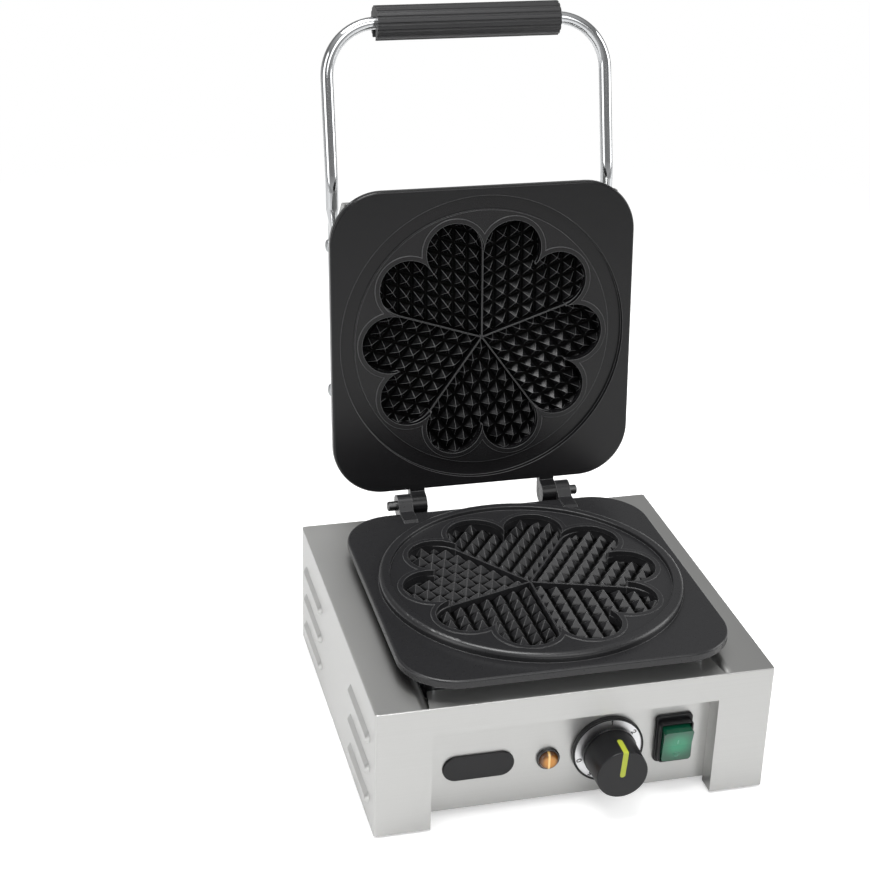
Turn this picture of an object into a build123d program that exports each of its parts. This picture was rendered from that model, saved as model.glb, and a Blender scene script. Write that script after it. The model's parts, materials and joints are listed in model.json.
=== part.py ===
from build123d import *
import os
from math import atan2, cos, degrees, radians, sin, tan

# Heart waffle maker: a stainless casing carries a cast lower plate, and a hinged lid carries the upper one.
# Sizes are in millimetres. The working frame has x = 0 on the middle plane, y = 0 on the casing's front face
# and z = 0 on the casing's lower edge. The finished pieces are moved to the middle of the whole object.

# Casing
CASE_W, CASE_D, CASE_H = 300.0, 282.0, 104.0
SHEET = 1.5
FOOT_DROP = 2.0
LEG_INNER = 108.0
STRIP_BOTTOM = 81.5
RECESS = 15.0
SHOULDER_X, SHOULDER_R = 117.0, 9.0
FLANGE_FRONT, FLANGE_REAR = 23.0, 233.0
REAR_RIM = 14.0
LOUVRE_LENGTH, LOUVRE_HEIGHT, LOUVRE_OUT = 70.0, 10.0, 2.6
LOUVRE_CENTRES_Y = (52.5, 231.5)
LOUVRE_CENTRES_Z = (20.0, 46.0, 72.0)

# Cast plates
PLATE_SIDE, PLATE_CORNER, PLATE_EDGE = 251.0, 42.0, 7.0
PLATE_TOP = 123.0
PLATE_Y = 127.5
PLATE_GAP = 3.0
RING_IN, RING_OUT, RING_HEIGHT = 108.6, 117.0, 6.9
DISC_RISE = 3.5
GROOVE_IN, GROOVE_OUT, GROOVE_DEPTH = 106.5, 118.5, 4.4
DISC_DROP = 2.0
RIM_RISE, RIM_WIDTH = 0.6, 3.8
LOBE_REACH = 73.0
LOBE_R = LOBE_REACH * tan(radians(18))
HEARTS = 5
RIDGE_T = 1.2
RIDGE_DROP = 4.5
TIP_DROP = 0.5
PYRAMID_H, PYRAMID_PITCH, TIP_FLAT = 7.0, 12.0, 0.8
BOSS_FLOOR = 5.0
LOWER_BOSS_R, UPPER_BOSS_R = 102.0, 106.0

# Hinge and lid
HINGE_Y, HINGE_RISE = 265.0, 1.2
HINGE_Z = PLATE_TOP + HINGE_RISE
LID_LEAN = 5.7
KNUCKLE_R, PIN_R, PIN_PLAY = 9.0, 4.0, 0.05
INNER_KNUCKLE = (49.5, 62.0)
OUTER_KNUCKLE = (62.3, 74.0)
PIN_ENDS = (49.6, 81.5)
COVER_HALF, COVER_T = 112.5, 1.2
COVER_NEAR, COVER_FAR, COVER_DEPTH, COVER_SLOPE = 25.0, 253.0, 56.0, 38.0
HANDLE_R, HANDLE_X, HANDLE_BACK = 5.0, 115.0, 44.0
STRAP_W, STRAP_T, STRAP_START, STRAP_END = 16.0, 5.0, 60.0, 228.0
HANDLE_KNEE, HANDLE_TOP, HANDLE_TOP_BACK, HANDLE_BEND = 262.0, 384.0, 63.0, 41.0
STRAP_SCREWS = (90.0, 212.0)
GRIP_HALF, GRIP_R, GRIP_FLUTES = 75.0, 13.7, 16

# Controls, centres on the recessed panel
PANEL_T = 1.2
LAMP_AT, LAMP_R, LENS_R = (-16.6, 39.0), 8.8, 7.3
DIAL_AT, DIAL_R, DIAL_OUT = (29.0, 41.7), 27.5, 4.0
KNOB_R, KNOB_BACK, KNOB_FRONT = 20.0, 8.0, -20.5
POINTER_TURN, POINTER_W, POINTER_SIDE = 4.0, 4.1, 16.0
SHAFT_R = 3.0
SWITCH_AT, SWITCH_SIZE, COLLAR_SIZE, COLLAR_OUT = (80.0, 44.5), (29.0, 40.5), (26.0, 34.0), 8.5
ROCKER_SIZE, ROCKER_OUT, ROCKER_TILT, ROCKER_PIVOT = (22.6, 29.0), 12.6, 9.0, 9.0
BADGE_AT, BADGE_SIZE = (-69.5, 40.0), (54.0, 21.0)


def block(x0, x1, y0, y1, z0, z1):
    """Box between two corners."""
    return Pos((x0 + x1) / 2, (y0 + y1) / 2, (z0 + z1) / 2) * Box(abs(x1 - x0), abs(y1 - y0), abs(z1 - z0))


def rod_x(x0, x1, y, z, r):
    """Cylinder along X."""
    return Pos((x0 + x1) / 2, y, z) * Rot(0, 90, 0) * Cylinder(r, abs(x1 - x0))


def rod_y(x, y0, y1, z, r):
    """Cylinder along Y."""
    return Pos(x, (y0 + y1) / 2, z) * Rot(90, 0, 0) * Cylinder(r, abs(y1 - y0))


def rod_z(x, y, z0, z1, r):
    """Cylinder along Z."""
    return Pos(x, y, (z0 + z1) / 2) * Cylinder(r, abs(z1 - z0))


def both(shape):
    """A shape and its mirror image across the middle plane, as a list."""
    return [shape, mirror(shape, Plane.YZ)]


def prism_x(points, x0, x1):
    """Polygon of (y, z) points, extruded along X."""
    face = make_face(Polyline(*[(0, y, z) for y, z in points], close=True))
    return Pos(x0, 0, 0) * extrude(face, x1 - x0, dir=(1, 0, 0))


def group(shapes):
    """Separate solids kept together as one piece."""
    return Compound(children=[s for shape in shapes for s in shape.solids()])


def louvre(y, z):
    """Pressed hood on the left side: it swells from the wall towards an open lower lip."""
    half = LOUVRE_LENGTH / 2
    wall = -CASE_W / 2
    hood = loft([
        Plane((wall + 0.2, y, z), x_dir=(0, 1, 0), z_dir=(-1, 0, 0))
        * RectangleRounded(2 * half, LOUVRE_HEIGHT, 4.8),
        Plane((wall - LOUVRE_OUT, y, z - 1.6), x_dir=(0, 1, 0), z_dir=(-1, 0, 0))
        * RectangleRounded(2 * half - 6, LOUVRE_HEIGHT - 5.6, 2.1),
    ])
    slot = block(wall - LOUVRE_OUT - 1, wall + SHEET + 1, y - half + 5, y + half - 5, z - 5.4, z - 2.6)
    return hood, slot


def casing_shell():
    """Folded sheet: sides, front legs and strip, top strips with rolled edges, front and rear flanges."""
    outer = block(-CASE_W / 2, CASE_W / 2, 0, CASE_D, 0, CASE_H)
    outer = fillet(outer.edges().filter_by(Axis.Z), 2.0)
    outer = fillet(outer.faces().sort_by(Axis.Z)[-1].edges(), 1.0)
    inner = block(-CASE_W / 2 + SHEET, CASE_W / 2 - SHEET, SHEET, CASE_D - SHEET, -1, CASE_H - SHEET)
    shell = outer - inner
    shell -= block(-LEG_INNER, LEG_INNER, -1, SHEET + 1, -1, STRIP_BOTTOM)
    shell -= block(-SHOULDER_X, SHOULDER_X, SHEET, CASE_D - SHEET, CASE_H - SHEET - 1, CASE_H + 1)
    rim_x = CASE_W / 2 - REAR_RIM
    shell -= block(-rim_x, rim_x, CASE_D - SHEET - 1, CASE_D + 1, -1, CASE_H - REAR_RIM)
    low = CASE_H - SHOULDER_R
    rear = FLANGE_REAR + 2
    bend = rod_y(SHOULDER_X, SHEET, rear, low, SHOULDER_R)
    bend -= rod_y(SHOULDER_X, 0, CASE_D, low, SHOULDER_R - SHEET)
    bend &= block(SHOULDER_X - SHOULDER_R, SHOULDER_X, SHEET, rear, low, CASE_H)
    lip = block(LEG_INNER, LEG_INNER + SHEET, SHEET, rear, low - 3, low)
    leg_return = block(LEG_INNER, LEG_INNER + SHEET, 0.5, RECESS, 0, STRIP_BOTTOM + SHEET)
    for piece in both(bend) + both(lip) + both(leg_return):
        shell += piece
    shell += block(-LEG_INNER - 0.5, LEG_INNER + 0.5, 0.5, RECESS, STRIP_BOTTOM, STRIP_BOTTOM + SHEET)
    for edge, back in ((SHEET, FLANGE_FRONT), (CASE_D - SHEET, FLANGE_REAR)):
        wide, narrow = (111, LEG_INNER - 0.4) if edge < back else (SHOULDER_X + 1, SHOULDER_X + 1)
        corners = [(-wide, edge), (wide, edge), (narrow, back), (-narrow, back)]
        face = make_face(Polyline(*[(x, y, CASE_H - SHEET) for x, y in corners], close=True))
        shell += extrude(face, SHEET, dir=(0, 0, 1))
        fold = back - SHEET if edge < back else back
        shell += block(-LEG_INNER + 0.4, LEG_INNER - 0.4, fold, fold + SHEET, CASE_H - 8, CASE_H - SHEET)
    for y in LOUVRE_CENTRES_Y:
        for z in LOUVRE_CENTRES_Z:
            hood, slot = louvre(y, z)
            for h, s in zip(both(hood), both(slot)):
                shell = shell + h - s
    for x, z in REAR_SCREWS:
        shell -= rod_y(x, CASE_D - SHEET - 1, CASE_D + 1, z, 1.7)
    return shell


def panel_hole(at, size):
    """Cutter through the control panel: a round one for a radius, a rectangular one for a size pair."""
    x, z = at
    if isinstance(size, tuple):
        half_w, half_h = size[0] / 2, size[1] / 2
        return block(x - half_w, x + half_w, RECESS - 1, RECESS + PANEL_T + 1, z - half_h, z + half_h)
    return rod_y(x, RECESS - 1, RECESS + PANEL_T + 1, z, size)


def control_panel():
    """Recessed front panel with its holes and a folded lower edge."""
    panel = block(-128, 128, RECESS, RECESS + PANEL_T, 4, 91)
    panel += block(-128, 128, RECESS, RECESS + 14, 4, 4 + PANEL_T)
    return panel - panel_hole(LAMP_AT, 6.3) - panel_hole(DIAL_AT, 5.5) - panel_hole(SWITCH_AT, (22.4, 30.4))


def bottom_plate():
    """Base sheet with rows of air slots and holes for the feet."""
    plate = block(-148.2, 148.2, 29.4, 278.6, 4, 4 + PANEL_T)
    plate += block(-148.2, -128.3, 4, 29.4, 4, 4 + PANEL_T) + block(128.3, 148.2, 4, 29.4, 4, 4 + PANEL_T)
    slot = extrude(SlotOverall(46, 5), 4)
    for column in range(4):
        for row in range(5):
            plate -= Pos(-90 + 60 * column, 70 + 32 * row, 2.5) * slot
    for x, y in FOOT_PLACES:
        plate -= rod_z(x, y, 3, 6, 2.2)
    return plate


FOOT_PLACES = [(sx * 136.0, y) for sx in (-1, 1) for y in (18.0, 262.0)]


def rubber_feet():
    """Four round feet with a recess for the screw head."""
    foot = Cone(10.0, 11.0, 6.0)
    foot = fillet(foot.edges().sort_by(Axis.Z)[0], 1.0)
    foot -= Pos(0, 0, -2) * Cylinder(4.4, 3.0)
    foot -= Cylinder(2.2, 8.0)
    return group([Pos(x, y, 1.0) * foot for x, y in FOOT_PLACES])


def foot_screws():
    """Pan head screws that hold the feet to the base sheet."""
    screw = Pos(0, 0, 0.9) * Cylinder(3.9, 2.2, align=(Align.CENTER, Align.CENTER, Align.MAX))
    screw += Cylinder(2.0, 10.0, align=(Align.CENTER, Align.CENTER, Align.MIN))
    screw -= Pos(0, 0, -1.6) * (Box(4.4, 0.9, 1.4) + Box(0.9, 4.4, 1.4))
    return group([Pos(x, y, -0.4) * screw for x, y in FOOT_PLACES])


def rear_panel():
    """Rear wall inside the casing's rim, with the hole of the cable gland and a group of air slots."""
    y = CASE_D - SHEET - PANEL_T
    panel = block(-148.2, 148.2, y, CASE_D - SHEET, 5.4, 102.4)
    panel -= rod_y(GLAND_AT[0], y - 1, CASE_D, GLAND_AT[1], 8.2)
    for row in range(4):
        panel -= block(-60, 20, y - 1, CASE_D, 30 + 12 * row, 33 + 12 * row)
    for x, z in REAR_SCREWS:
        panel -= rod_y(x, y - 1, CASE_D, z, 1.7)
    return panel


GLAND_AT = (100.0, 32.0)
REAR_SCREWS = [(sx * 143.0, z) for sx in (-1, 1) for z in (16.0, 52.0, 88.0)]


def rear_screws():
    """Pan head screws through the casing's rear rim."""
    head = rod_y(0, CASE_D, CASE_D + 2.2, 0, 3.6)
    head = fillet(head.edges().sort_by(Axis.Y)[-1], 1.2)
    head -= block(-2.4, 2.4, CASE_D + 1.2, CASE_D + 3, -0.45, 0.45)
    head -= block(-0.45, 0.45, CASE_D + 1.2, CASE_D + 3, -2.4, 2.4)
    screw = head + rod_y(0, CASE_D - 8, CASE_D, 0, 1.5)
    return group([Pos(x, 0, z) * screw for x, z in REAR_SCREWS])


def cable_gland():
    """Nylon gland at the rear: collar, hexagon and dome, with a bore for the lead and an inner nut."""
    x, z = GLAND_AT
    place = Pos(x, CASE_D - SHEET, z) * Rot(-90, 0, 0)
    gland = extrude(RegularPolygon(11.0, 6), 5)
    gland += Pos(0, 0, 5) * Cone(9.6, 7.0, 8, align=(Align.CENTER, Align.CENTER, Align.MIN))
    gland += Pos(0, 0, -12) * Cylinder(8.0, 12.5, align=(Align.CENTER, Align.CENTER, Align.MIN))
    gland -= Cylinder(4.2, 60)
    nut = Pos(0, 0, -PANEL_T - 4.2) * extrude(RegularPolygon(11.5, 6), 4)
    nut -= Cylinder(8.05, 60)
    return group([place * gland, place * nut])


def terminal_block():
    """Three-way ceramic connector behind the rear wall."""
    x, y, z = 100.0, 250.0, 15.5
    body = block(x - 22, x + 22, y - 9, y + 9, z - 10.2, z + 6)
    for i in (-1, 0, 1):
        body -= rod_z(x + 14 * i, y - 4, z + 1, z + 8, 2.4)
        body -= rod_z(x + 14 * i, y + 4, z + 1, z + 8, 2.4)
        body -= rod_y(x + 14 * i, y - 10, y + 10, z - 1, 2.0)
    return body


def cross_rails():
    """Two channels between the casing's sides that carry the lower heater box."""
    rails = []
    for y in (62.0, 194.0):
        channel = block(-148.2, 148.2, y - 12, y + 12, 80, 91.8) - block(-150, 150, y - 10.4, y + 10.4, 79, 90.2)
        rails.append(channel)
    return group(rails)


def heater_box():
    """Open sheet box under the lower plate, round its heating element."""
    half = LOWER_BOSS_R + 1.0
    box = block(-half, half, PLATE_Y - half, PLATE_Y + half, 92, PLATE_TOP - PLATE_EDGE - 0.1)
    box = fillet(box.edges().filter_by(Axis.Z), 3.0)
    cavity = block(-half + 0.8, half - 0.8, PLATE_Y - half + 0.8, PLATE_Y + half - 0.8, 92.8, PLATE_TOP)
    cavity = fillet(cavity.edges().filter_by(Axis.Z), 2.2)
    box -= cavity
    for x in (-ELEMENT_GAP, ELEMENT_GAP):
        box -= rod_y(x, PLATE_Y, PLATE_Y + half + 5, ELEMENT_Z, 4.6)
    return box


ELEMENT_GAP = 10.0
ELEMENT_R = 4.0
ELEMENT_Z = PLATE_TOP - DISC_RISE - PLATE_EDGE - 7.9


def heating_element(z, tail):
    """Tubular element bent to a rounded square, both ends led out towards the hinge."""
    side = 64.0
    points = [(-ELEMENT_GAP, tail), (-ELEMENT_GAP, side), (-side, side),
              (-side, -side), (side, -side), (side, side),
              (ELEMENT_GAP, side), (ELEMENT_GAP, tail)]
    path = FilletPolyline(*[(x, y, z) for x, y in points], radius=[12, 26, 26, 26, 26, 12])
    section = Plane(origin=path @ 0, z_dir=path % 0) * Circle(ELEMENT_R)
    tube = sweep(section, path=path)
    for x in (-ELEMENT_GAP, ELEMENT_GAP):
        tube += rod_y(x, tail - 0.5, tail + 6, z, 1.6)
    return tube


def lower_clamp():
    """Pressed plate that holds the element against the lower casting."""
    plate = extrude(RectangleRounded(160, 160, 20), 3)
    plate -= extrude(RectangleRounded(84, 84, 16), 3)
    return Pos(0, PLATE_Y, ELEMENT_Z - ELEMENT_R - 3.1) * plate


def lower_insulation():
    """Mineral wool board on the floor of the heater box."""
    half = LOWER_BOSS_R - 4
    return block(-half, half, PLATE_Y - half, PLATE_Y + half, 92.9, ELEMENT_Z - ELEMENT_R - 3.3)


def heart_face(offset=0.0):
    """Heart with its point on the origin and its axis along +Y, grown by an offset."""
    reach = LOBE_REACH / cos(radians(18))
    ridge, lobe = radians(36), radians(18)
    outline = [(0, 0), (LOBE_REACH * sin(ridge), LOBE_REACH * cos(ridge)),
               (reach * sin(lobe), reach * cos(lobe)),
               (0, LOBE_REACH), (-reach * sin(lobe), reach * cos(lobe)),
               (-LOBE_REACH * sin(ridge), LOBE_REACH * cos(ridge))]
    heart = make_face(Polyline(*outline, close=True))
    for side in (-1, 1):
        heart += Pos(side * reach * sin(lobe), reach * cos(lobe)) * Circle(LOBE_R + offset)
    return heart


def flower_prism(offset, z0, z1):
    """The five hearts as one prism."""
    prism = None
    for i in range(HEARTS):
        petal = Pos(0, 0, z0) * Rot(0, 0, 72 * i) * extrude(heart_face(offset), z1 - z0)
        prism = petal if prism is None else prism + petal
    return prism


def heart_cutter(z_ridge):
    """One heart's hollow below the ridges: a pocket to the tips and grooves that leave the pyramids."""
    z_tip = z_ridge - TIP_DROP
    z_floor = z_tip - PYRAMID_H
    inset = Pos(0, RIDGE_T / 2 / sin(radians(36))) * heart_face(-RIDGE_T / 4)
    pocket = Pos(0, 0, z_tip) * extrude(inset, z_ridge - z_tip + 1)
    deep = Pos(0, 0, z_floor) * extrude(inset, PYRAMID_H)
    spacing = PYRAMID_PITCH * sin(radians(72))
    half = (spacing - TIP_FLAT) / 2
    grooves = None
    for side in (-1, 1):
        for k in range(9):
            corners = [(-half, 0, 0), (half, 0, 0), (0.25, 0, -PYRAMID_H), (-0.25, 0, -PYRAMID_H)]
            section = make_face(Polyline(*corners, close=True))
            groove = Pos(k * spacing, 0, 0) * extrude(section, 130, dir=(0, 1, 0))
            groove = Pos(0, 0, z_tip) * Rot(0, 0, 36) * groove if side > 0 else (
                Pos(0, 0, z_tip) * Rot(0, 0, -36) * mirror(groove, Plane.YZ))
            grooves = groove if grooves is None else grooves + groove
    return pocket + (grooves & deep)


def waffle_face(casting, z_disc):
    """Cut the joined hearts into a casting whose disc lies at z_disc: raised rim, ridges and pyramids."""
    casting += flower_prism(RIM_WIDTH, z_disc - 1, z_disc + RIM_RISE)
    z_ridge = z_disc - RIDGE_DROP
    casting -= flower_prism(0, z_ridge, z_disc + RIM_RISE + 1)
    cutter = heart_cutter(z_ridge)
    for i in range(HEARTS):
        casting -= Rot(0, 0, 72 * i) * cutter
    return casting


def plate_blank(boss_r, boss_depth):
    """Rounded square tray with a round boss behind it."""
    tray = Pos(0, 0, -PLATE_EDGE) * extrude(RectangleRounded(PLATE_SIDE, PLATE_SIDE, PLATE_CORNER), PLATE_EDGE)
    tray = fillet(tray.faces().sort_by(Axis.Z)[-1].edges(), 1.8)
    tray = chamfer(tray.faces().sort_by(Axis.Z)[0].edges(), 1.0)
    return tray + rod_z(0, 0, -boss_depth, -PLATE_EDGE + 1, boss_r)


def hinge_arm(x0, x1, z_axis, profile, bore):
    """Cast arm with a knuckle round the hinge axis, its bore cut through."""
    y_axis = HINGE_Y - PLATE_Y
    arm = prism_x(profile, x0, x1) + rod_x(x0, x1, y_axis, z_axis, KNUCKLE_R)
    return arm - rod_x(x0 - 1, x1 + 1, y_axis, z_axis, bore)


def lower_plate():
    """Lower casting: tray, raised ring, hearts, and the outer knuckles of both hinges."""
    floor = RIDGE_DROP + TIP_DROP + PYRAMID_H - DISC_RISE + BOSS_FLOOR
    plate = plate_blank(LOWER_BOSS_R, floor)
    plate += rod_z(0, 0, -1, RING_HEIGHT, RING_OUT) - rod_z(0, 0, DISC_RISE, RING_HEIGHT + 1, RING_IN)
    top = plate.faces().sort_by(Axis.Z)[-1]
    plate = fillet(top.outer_wire().edges(), 3.6)
    plate = fillet(plate.faces().sort_by(Axis.Z)[-1].inner_wires()[0].edges(), 0.8)
    plate = waffle_face(plate, DISC_RISE)
    y = HINGE_Y - PLATE_Y
    z = HINGE_RISE
    profile = [(108, -5), (108, 0), (111, 1.4), (125.5, 1.4), (y - 7.4, z + 5.2), (y, z), (y, z - KNUCKLE_R),
               (y - 8, z - KNUCKLE_R), (118, -PLATE_EDGE)]
    for arm in both(hinge_arm(*OUTER_KNUCKLE, z, profile, PIN_R)):
        plate += arm
    return Pos(0, PLATE_Y, PLATE_TOP) * plate


def upper_plate():
    """Upper casting, built face up: groove for the ring, hearts, pillars and the inner knuckles."""
    floor = DISC_DROP + RIDGE_DROP + TIP_DROP + PYRAMID_H + BOSS_FLOOR
    plate = plate_blank(UPPER_BOSS_R, floor)
    plate -= rod_z(0, 0, -GROOVE_DEPTH, 1, GROOVE_OUT) - rod_z(0, 0, -GROOVE_DEPTH - 1, -DISC_DROP, GROOVE_IN)
    plate = waffle_face(plate, -DISC_DROP)
    y = HINGE_Y - PLATE_Y
    z = PLATE_GAP - HINGE_RISE
    profile = [(118, -PLATE_EDGE), (118, 0), (127, 0), (y - 7.4, z + 5.2), (y, z), (y, z - KNUCKLE_R),
               (y - 4, z - KNUCKLE_R)]
    for arm in both(hinge_arm(*INNER_KNUCKLE, z, profile, PIN_R + PIN_PLAY)):
        plate += arm
    for x in (-COVER_POST_X, COVER_POST_X):
        for v in COVER_POST_V:
            plate += rod_z(x, v - PLATE_Y, -COVER_DEPTH + COVER_T + 1.9, -PLATE_EDGE + 1, 5)
    return Pos(0, PLATE_Y, HINGE_Z + z) * Rot(0, 180, 0) * plate


COVER_POST_X = 98.0
COVER_POST_V = (HINGE_Y - 76.0, HINGE_Y - 201.0)


def hinge_pins():
    """Two plain pins, one in each hinge, with chamfered outer ends."""
    pin = rod_x(*PIN_ENDS, HINGE_Y, HINGE_Z, PIN_R)
    pin = chamfer(pin.edges().sort_by(Axis.X)[-1], 0.8)
    return group(both(pin))


def closed(u, back):
    """Point of the closed lid: u is the way from the hinge to the front, back is the height over the axis."""
    return HINGE_Y - u, HINGE_Z + back


def upper_cover():
    """Sheet cover of the lid: a box with sloped front and rear, open towards the casting."""
    near = PLATE_GAP - HINGE_RISE + PLATE_EDGE
    shape = [(COVER_NEAR, near), (COVER_NEAR, COVER_DEPTH - COVER_SLOPE),
             (COVER_NEAR + COVER_SLOPE, COVER_DEPTH), (COVER_FAR - COVER_SLOPE, COVER_DEPTH),
             (COVER_FAR, COVER_DEPTH - COVER_SLOPE), (COVER_FAR, near)]
    cover = prism_x([closed(u, b) for u, b in shape], -COVER_HALF, COVER_HALF)
    cover = fillet(cover.edges().filter_by(Axis.X).group_by(Axis.Z)[-1], 6.0)
    cover = fillet([e for e in cover.edges().filter_by(Axis.X) if e.center().Z > HINGE_Z + near + 1
                    and e.center().Z < HINGE_Z + COVER_DEPTH - COVER_SLOPE + 1], 5.0)
    cover = offset(cover, -COVER_T, openings=cover.faces().sort_by(Axis.Z)[0])
    for u in STRAP_SCREWS:
        y, z = closed(u, HANDLE_BACK)
        cover -= rod_x(-COVER_HALF - 2, COVER_HALF + 2, y, z, 2.7)
    for x in (-COVER_POST_X, COVER_POST_X):
        for v in COVER_POST_V:
            cover -= rod_z(x, v, HINGE_Z + COVER_DEPTH - 4, HINGE_Z + COVER_DEPTH + 2, 2.1)
    return cover


def cover_screws():
    """Four pan head screws that hold the cover to the casting's pillars."""
    z = HINGE_Z + COVER_DEPTH
    screw = rod_z(0, 0, z, z + 2.4, 3.9)
    screw = fillet(screw.edges().sort_by(Axis.Z)[-1], 1.2) + rod_z(0, 0, z - 1.2, z, 2.0)
    screw -= Pos(0, 0, z + 2.2) * (Box(4.4, 0.9, 1.6) + Box(0.9, 4.4, 1.6))
    return group([Pos(x, v, 0) * screw for x in (-COVER_POST_X, COVER_POST_X) for v in COVER_POST_V])


def upper_insulation():
    """Mineral wool board over the upper element."""
    y0, z0 = closed(211, UPPER_ELEMENT_BACK + ELEMENT_R + 3.3)
    y1, z1 = closed(67, COVER_DEPTH - COVER_T - 2)
    return block(-88, 88, y0, y1, z0, z1)


UPPER_FLOOR = DISC_DROP + RIDGE_DROP + TIP_DROP + PYRAMID_H + BOSS_FLOOR
UPPER_ELEMENT_BACK = (PLATE_GAP - HINGE_RISE) + UPPER_FLOOR + 4.1


def upper_clamp():
    """Pressed plate that holds the upper element against the casting."""
    plate = extrude(RectangleRounded(160, 160, 20), 3) - extrude(RectangleRounded(84, 84, 16), 3)
    return Pos(0, PLATE_Y, HINGE_Z + UPPER_ELEMENT_BACK + ELEMENT_R + 0.1) * plate


def handle_bar():
    """Bent round bar: flattened straps on the cover's sides, legs that lean away, and the grip's core."""
    places = [(STRAP_END + 14, HANDLE_BACK), (HANDLE_KNEE, HANDLE_BACK), (HANDLE_TOP, HANDLE_TOP_BACK)]
    left = [(-HANDLE_X, *closed(u, b)) for u, b in places]
    right = [(HANDLE_X, *closed(u, b)) for u, b in reversed(places)]
    path = FilletPolyline(*left, *right, radius=[80, HANDLE_BEND, HANDLE_BEND, 80])
    bar = sweep(Plane(origin=path @ 0, z_dir=path % 0) * Circle(HANDLE_R), path=path)
    y0, z0 = closed(STRAP_END, HANDLE_BACK)
    strap = Plane((0, 0, 0), x_dir=(0, -1, 0), z_dir=(-1, 0, 0))
    length = STRAP_END - STRAP_START
    for side in (-1, 1):
        x = side * HANDLE_X
        flat = Plane((x - STRAP_T / 2, y0 + length / 2, z0), x_dir=(0, 1, 0), z_dir=(1, 0, 0))
        band = flat * extrude(SlotOverall(length + STRAP_W, STRAP_W), STRAP_T)
        band -= block(x - 9, x + 9, y0 - 20, y0, z0 - 20, z0 + 20)
        taper = loft([
            Plane((x, y0, z0), x_dir=(1, 0, 0), z_dir=(0, -1, 0)) * RectangleRounded(STRAP_T, STRAP_W, 2.0),
            Plane((x, y0 - 14, z0), x_dir=(1, 0, 0), z_dir=(0, -1, 0)) * Circle(HANDLE_R),
        ])
        bar = bar + band + taper
        for u in STRAP_SCREWS:
            y, z = closed(u, HANDLE_BACK)
            bar -= rod_x(x - 5, x + 5, y, z, 2.7)
    return bar


def handle_screws():
    """Domed screws through the straps, with hexagon nuts inside the cover."""
    pieces = []
    outer = HANDLE_X + STRAP_T / 2
    for u in STRAP_SCREWS:
        y, z = closed(u, HANDLE_BACK)
        head = fillet(rod_x(outer, outer + 3.2, y, z, 5.2).edges().sort_by(Axis.X)[-1], 2.4)
        screw = head + rod_x(COVER_HALF - 8, outer + 0.5, y, z, 2.5)
        screw -= Pos(outer + 3.0, y, z) * (Box(1.8, 5.0, 1.0) + Box(1.8, 1.0, 5.0))
        seat = Plane((COVER_HALF - COVER_T - 4.2, y, z), x_dir=(0, 1, 0), z_dir=(1, 0, 0))
        nut = seat * extrude(RegularPolygon(4.6, 6), 4)
        nut -= rod_x(COVER_HALF - 12, COVER_HALF, y, z, 2.55)
        pieces += both(screw) + both(nut)
    return group(pieces)


def handle_grip():
    """Fluted sleeve on the bar, with a slot for the bend at each end and two small notches below."""
    grip = Cylinder(GRIP_R, 2 * GRIP_HALF)
    for i in range(GRIP_FLUTES):
        flute = Pos(GRIP_R + 0.6, 0, 0) * Cylinder(1.5, 2 * GRIP_HALF + 2)
        grip -= Rot(0, 0, 360 / GRIP_FLUTES * (i + 0.5)) * flute
    grip = Rot(0, 90, 0) * grip
    lean = degrees(atan2(HANDLE_TOP_BACK - HANDLE_BACK, HANDLE_TOP - HANDLE_KNEE))
    grip -= rod_x(-GRIP_HALF - 1, GRIP_HALF + 1, 0, 0, HANDLE_R)
    for side in (-1, 1):
        grip -= block(side * (GRIP_HALF - 3), side * (GRIP_HALF + 1), 0, GRIP_R + 1, -HANDLE_R, HANDLE_R)
        grip -= block(side * 47, side * 60, GRIP_R - 1.2, GRIP_R + 1, -5, 5)
    y, z = closed(HANDLE_TOP, HANDLE_TOP_BACK)
    return Pos(0, y, z) * Rot(lean, 0, 0) * grip


def dial_bezel():
    """Black dish behind the knob."""
    x, z = DIAL_AT
    dish = rod_y(x, RECESS - DIAL_OUT, RECESS, z, DIAL_R)
    dish = fillet(dish.edges().sort_by(Axis.Y)[0], 1.0)
    return dish - rod_y(x, RECESS - DIAL_OUT - 1, RECESS - 2, z, DIAL_R - 1.6) - rod_y(x, 0, 30, z, 5.5)


def dial_scale():
    """Silver ring with the scale, seated in the dish."""
    x, z = DIAL_AT
    return rod_y(x, RECESS - 3, RECESS - 2, z, DIAL_R - 1.7) - rod_y(x, 0, 30, z, 5.5)


def knob_blank():
    """Slightly tapered cylinder with a rounded front edge and a narrow rim at the back."""
    x, z = DIAL_AT
    blank = Pos(x, KNOB_BACK, z) * Rot(90, 0, 0) * Cone(
        KNOB_R, KNOB_R - 0.6, KNOB_BACK - KNOB_FRONT, align=(Align.CENTER, Align.CENTER, Align.MIN))
    blank = fillet(blank.edges().sort_by(Axis.Y)[0], 1.0)
    return blank + rod_y(x, KNOB_BACK - 1.6, KNOB_BACK, z, KNOB_R + 0.5)


def pointer_prism(depth):
    """L-shaped inlay: from just past the knob's centre to its edge, then back along the side."""
    x, z = DIAL_AT
    half = POINTER_W / 2
    line = block(x - half, x + half, KNOB_FRONT, KNOB_FRONT + depth, z, z + KNOB_R - depth)
    line += rod_y(x, KNOB_FRONT, KNOB_FRONT + depth, z, half)
    tail = KNOB_FRONT + POINTER_SIDE - half
    line += block(x - half, x + half, KNOB_FRONT, tail, z + KNOB_R - 0.8 - depth, z + KNOB_R + 2)
    line += rod_z(x, tail, z + KNOB_R - 0.8 - depth, z + KNOB_R + 2, half)
    axis = Pos(x, 0, z)
    return (axis * Rot(0, POINTER_TURN, 0) * axis.inverse() * line) & knob_blank()


def knob():
    """Moulded knob with a socket for the shaft."""
    x, z = DIAL_AT
    body = knob_blank() - pointer_prism(0.8)
    body -= rod_y(x, -6, 14, z, KNOB_R - 3) - rod_y(x, -7, KNOB_BACK, z, 6)
    return body - rod_y(x, -9, 14, z, SHAFT_R)


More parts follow.
